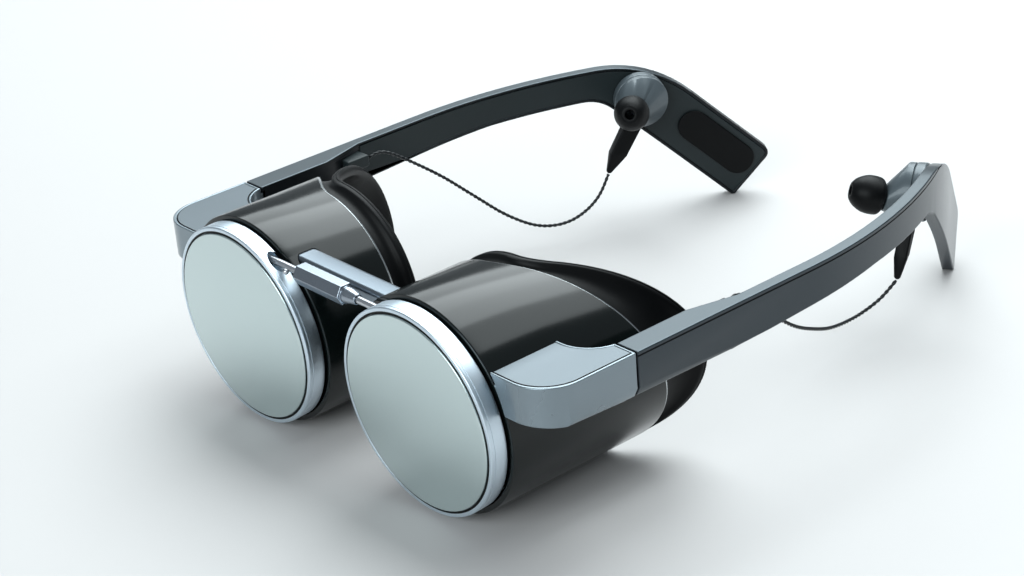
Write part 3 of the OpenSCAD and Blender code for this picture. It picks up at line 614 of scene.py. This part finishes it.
# ---- Inside the barrels ----------------------------------------------------
# A moulded tube holds the square display on its board and the eyepiece lens.
# A moulded guide carries the bridge bar.
black_plastic = surface("black_moulding", (0.016, 0.023, 0.025), 0.45, spec=0.25, grain=0.2, grain_size=0.18,
                        tone=0.12)
green_board = surface("solder_mask", (0.012, 0.09, 0.045), 0.35, coat=0.4, grain=0.1, grain_size=0.6)
dark_display = surface("display_face", (0.006, 0.006, 0.009), 0.08, coat=1.0, grain=0.0)
lens_glass = bpy.data.materials.new("lens_glass")
lens_glass.use_nodes = True
lens_bsdf = lens_glass.node_tree.nodes["Principled BSDF"]
lens_bsdf.inputs["Base Color"].default_value = (0.92, 0.96, 0.97, 1)
lens_bsdf.inputs["Roughness"].default_value = 0.03
lens_bsdf.inputs["Transmission Weight"].default_value = 1.0
lens_bsdf.inputs["IOR"].default_value = 1.49
for side, sign in SIDES:
    body = f"{side}_barrel"
    worked(f"{side}_bridge_guide", f"{side}_bar_guide", body, [black_plastic], edge=0.1)
    worked(f"{side}_lens_tube", f"{side}_optics_tube", body, [black_plastic], edge=0.2)
    worked(f"{side}_display_board", f"{side}_panel_board", body, [green_board], edge=0.1)
    worked(f"{side}_display_panel", f"{side}_panel", body, [dark_display], edge=0.1)
    worked(f"{side}_eyepiece_lens", f"{side}_lens", body, [lens_glass], edge=0.15)

# ---- Eye cups --------------------------------------------------------------
# Soft black rubber boots that push into the shells. Behind the shell the wall
# draws in, then swells to a rolled lip with a fine moulded line round it.


CUP_REACH, CUP_SWEEP, CUP_RAKE, CUP_NOSE, CUP_BLEND = 14.6, 49, 6, 34.3, 5
LIP_R, CUP_R, CUP_WALL, LIP_T, CUP_PLUG = 26.9, 25.75, 1.6, 2.6, 4
DRAW_IN, DRAW_RATE, FLARE = 1.1, 0.11, 0.75
LIP_ROLL = [(0.0, -0.25), (0.12, -0.08), (0.25, 0), (0.4, -0.02), (0.47, -0.16), (0.53, -0.16),
            (0.6, -0.03), (0.72, -0.05), (0.85, -0.28), (0.95, -0.65), (1.0, -1.15)]


def cup_rear_y(x, z):
    start = SHELL_REAR + CUP_REACH + SHELL_R * (math.tan(math.radians(SHELL_SWEEP))
                                                - math.tan(math.radians(CUP_SWEEP)))
    return slant_y(x, z, start, CUP_SWEEP, CUP_RAKE, CUP_NOSE, CUP_BLEND)


for side, sign in SIDES:
    sections = []
    for k in range(ROUND):
        a = 2 * math.pi * k / ROUND
        c, s = math.cos(a), math.sin(a)
        edge = shell_rear_y(CUP_R * c, CUP_R * s)
        rear = cup_rear_y(LIP_R * c, LIP_R * s)
        sink = min(DRAW_IN, DRAW_RATE * max(rear - LIP_T - edge, 0.5))
        start = edge + 0.1
        wall = [(edge - CUP_PLUG, CUP_R - CUP_WALL), (edge - CUP_PLUG, CUP_R - 0.02), (edge - 0.2, CUP_R - 0.02)]
        for j in range(1, 12):
            u = j / 12
            wall.append((start + (rear - LIP_T - start) * u,
                         CUP_R - 0.05 - sink * math.sin(math.pi * u) ** 0.8 + FLARE * u ** 4))
        wall += [(rear - LIP_T * (1 - u), LIP_R + d) for u, d in LIP_ROLL]
        wall += [(rear - 0.03, 25.2), (rear - 0.35, 24.6), (rear - 1.0, 24.25),
                 (rear - 2.2, CUP_R - CUP_WALL), ((rear + edge) / 2 - 3, CUP_R - CUP_WALL)]
        sections.append([(r * c, y, r * s) for y, r in wall])
    place = lambda x, y, z, sign=sign: on_barrel(sign, x, y, z)
    lofted(f"{side}_rubber_cup", sections, place, [black_rubber], f"{side}_barrel",
           [f"{side}_eye_cup"])

# ---- End-pieces and hinges -------------------------------------------------
# Cast end-pieces screwed to the shells, silver grey, each with a let-in top
# plate. The neck behind carries two knuckles of the temple's hinge.
arm_metal = surface("silver_coat", (0.21, 0.255, 0.285), 0.28, metal=0.7, coat=0.3, grain=0.03, edge_highlight=0.35,
                    tone=0.05)
plate_metal = surface("plate_satin", (0.125, 0.15, 0.168), 0.33, metal=0.75, grain=0.05,
                      grain_size=0.2, edge_highlight=0.3, tone=0.05)
for side, sign in SIDES:
    body = f"{side}_barrel"
    worked(f"{side}_end_piece", f"{side}_end_casting", body, [arm_metal], edge=0.3, segments=4)
    worked(f"{side}_end_plate", f"{side}_top_plate", body, [plate_metal, black_rubber],
           edge=0.2, edge_slot=1, pick=lambda face: 0 if face.normal.z > 0.5 else 1)
    worked(f"{side}_end_screws", f"{side}_screws", body, [steel], edge=0.1)
    worked(f"{side}_hinge_pin", f"{side}_pin", body, [steel], edge=0.1)

# ---- Temples ---------------------------------------------------------------
# Each temple is a thin cast bar, lacquered slate grey outside and left satin
# along its top edge, with a black moulded cover let into its inner face.
slate = surface("slate_lacquer", (0.014, 0.025, 0.034), 0.24, metal=0.3, coat=0.15, grain=0.02, edge_highlight=0.5,
                tone=0.05, tone_size=30)
top_grey = surface("top_satin", (0.06, 0.075, 0.085), 0.3, metal=0.8, grain=0.03, edge_highlight=0.4, tone=0.05)
inner_black = surface("inner_black", (0.006, 0.008, 0.010), 0.4, spec=0.3, metal=0.1, grain=0.08, tone=0.1)


# Painted shade: a thin band of the temple's outer face just under the top edge is painted near black. It is
# partly the real joint between the outer shell and the frame, and partly painted shade for the dark reflection
# in the rounded edge above it.
painted_joint_shade = surface("joint_shadow", (0.001, 0.001, 0.002), 0.6, spec=0.1, grain=0.0)
JOINT_SHADE_BAND = (42.3, 42.75)


def temple_face(face):
    n, middle = face.normal, face.calc_center_median()
    if n.z > 0.75:
        return 1
    if n.x * middle.x <= 0 and n.z >= -0.5:
        return 2
    # Outer faces inside the band under the top edge take the painted joint shade.
    return 3 if n.z > -0.5 and JOINT_SHADE_BAND[0] < middle.z * 1000 < JOINT_SHADE_BAND[1] else 0


for side, sign in SIDES:
    body = f"{side}_temple"
    worked(f"{side}_temple_shell", f"{side}_temple_bar", body,
           [slate, top_grey, inner_black, painted_joint_shade], edge=0.35, segments=4, pick=temple_face, levels=JOINT_SHADE_BAND)
    worked(f"{side}_temple_cover", f"{side}_inner_cover", body, [black_plastic], edge=0.2)
    worked(f"{side}_tip_pad", f"{side}_soft_pad", body, [black_rubber], edge=0.3)
    worked(f"{side}_cord_gland", f"{side}_gland", body, [black_plastic], edge=0.4)
    worked(f"{side}_earphone_dock", f"{side}_dock", body, [black_plastic], edge=0.1)
worked("signal_socket", "socket_shell", "left_temple", [steel], edge=0.1)
worked("driver_board", "driver_card", "left_temple", [green_board], edge=0.05)

# ---- Earphones -------------------------------------------------------------
# Small metal pods that seat on the temple. A round back, a seam, a cone that
# leans to the ear canal, a silicone tip, and a flat rubber stem for the cord.
pod_metal = surface("pod_grey", (0.075, 0.095, 0.108), 0.42, metal=0.3, coat=0.2, grain=0.03, edge_highlight=0.35,
                    tone=0.05)
speaker_metal = surface("speaker_brass", (0.5, 0.40, 0.22), 0.3, metal=1.0, grain=0.05)
TIP_ALONG = Vector((-0.62, -0.72, 0.3)).normalized()
EAR_TURN = math.radians(29)
ARM_X, ARM_T, ARM_TOP, HEAD_R, HEAD_Y = 72.8, 3.2, 43.6, 136, 88
TIP_AT = Vector((ARM_X - HEAD_R + (HEAD_R - ARM_T) * math.cos(EAR_TURN) - 7.3,
                 HEAD_Y + (HEAD_R - ARM_T) * math.sin(EAR_TURN) - 9, ARM_TOP - 9.9))
tip_across = TIP_ALONG.cross(Vector((0, 0, 1))).normalized()
tip_up = tip_across.cross(TIP_ALONG)
tip_profile = rounded(
    [(0.2, 2.35), (0.2, 3.4), (1.1, 4.75), (3.4, 5.0), (5.4, 4.75), (7.6, 3.6), (8.8, 2.2), (8.8, 1.3),
     (3.9, 1.3), (3.9, 2.35)],
    [0.2, 0.3, 0.9, 1.2, 1.2, 1.5, 0.8, 0.25, 0, 0], steps=7)


def on_tip(sign, x, y, z):
    p = TIP_AT + TIP_ALONG * y + tip_across * x + tip_up * z
    return at(sign * p.x, p.y, p.z)


for side, sign in SIDES:
    body = f"{side}_earphone"
    place = lambda x, y, z, sign=sign: on_tip(sign, x, y, z)
    worked(f"{side}_earphone_back", f"{side}_pod_back", body, [pod_metal], edge=0.6,
           segments=5)
    worked(f"{side}_speaker", f"{side}_driver", body, [speaker_metal], edge=0.1)
    worked(f"{side}_earphone_housing", f"{side}_pod_cone", body, [pod_metal], edge=0.2,
           angle=40)
    turned(f"{side}_silicone_tip", tip_profile, place, True, [black_rubber], body,
           [f"{side}_ear_tip"], steps=96)
    worked(f"{side}_cord_stem", f"{side}_stem", body, [black_rubber], edge=0.35, angle=40)
